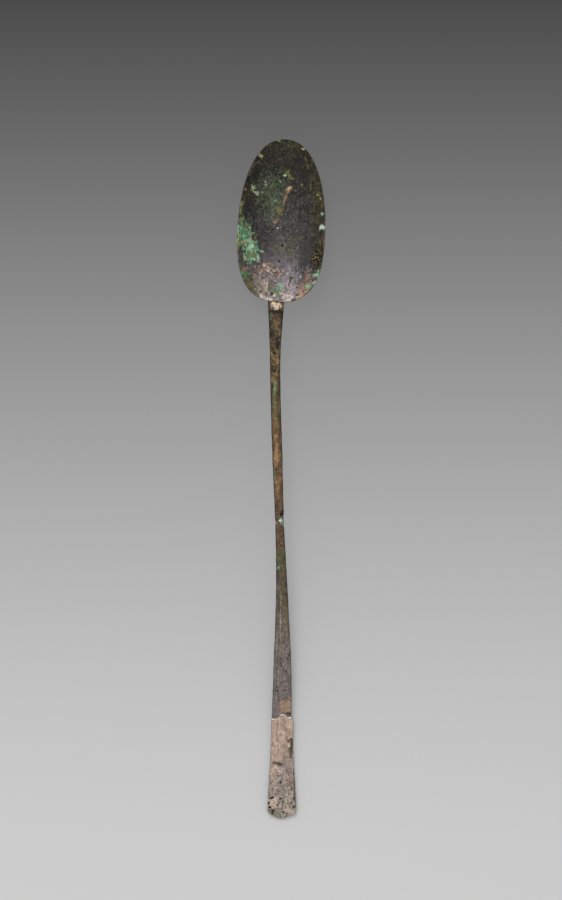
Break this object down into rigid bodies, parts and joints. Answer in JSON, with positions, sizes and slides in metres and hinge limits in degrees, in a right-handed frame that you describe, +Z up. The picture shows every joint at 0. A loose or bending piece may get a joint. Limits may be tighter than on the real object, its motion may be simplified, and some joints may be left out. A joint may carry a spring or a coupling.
{
  "type": "long-handled metal spoon",
  "caption": "Ancient bronze spoon with a deep egg-shaped bowl and a long slim handle that widens to a flat end with a blunt point.",
  "frame": {"origin": "middle of the spoon's bounding box, at the height of the surface it lies on", "axes": "+Y along the handle towards the tip of the bowl, +Z up out of the bowl, +X to the right when seen from above with the bowl away"},
  "size_m": [0.0292, 0.2246, 0.0088],
  "materials": {
    "bowl_bronze": "old bronze gone charcoal grey, with a dull sheen, lengthwise scratches and green and tan crusts",
    "handle_bronze": "golden brown to purple grey bronze, dull, finely pitted, with green stains",
    "end_bronze": "cleaned pinkish tan bronze with fine lengthwise strokes, rough and pitted at the point",
    "rivet_bronze": "reddish brown bronze with a green ring round it",
    "solder": "cream and pinkish grey metal, dull",
    "upper_fill": "pale green fill, dull",
    "lower_fill": "pinkish white fill, dull"
  },
  "bodies": {
    "root": {"bowl": "bowl_bronze", "shank_upper": "handle_bronze", "bowl_rivet": "rivet_bronze", "joint_solder": "solder", "mend_upper": "upper_fill", "shank_lower": "handle_bronze", "mend_lower": "lower_fill", "handle_end": "end_bronze"}
  },
  "joints": []
}
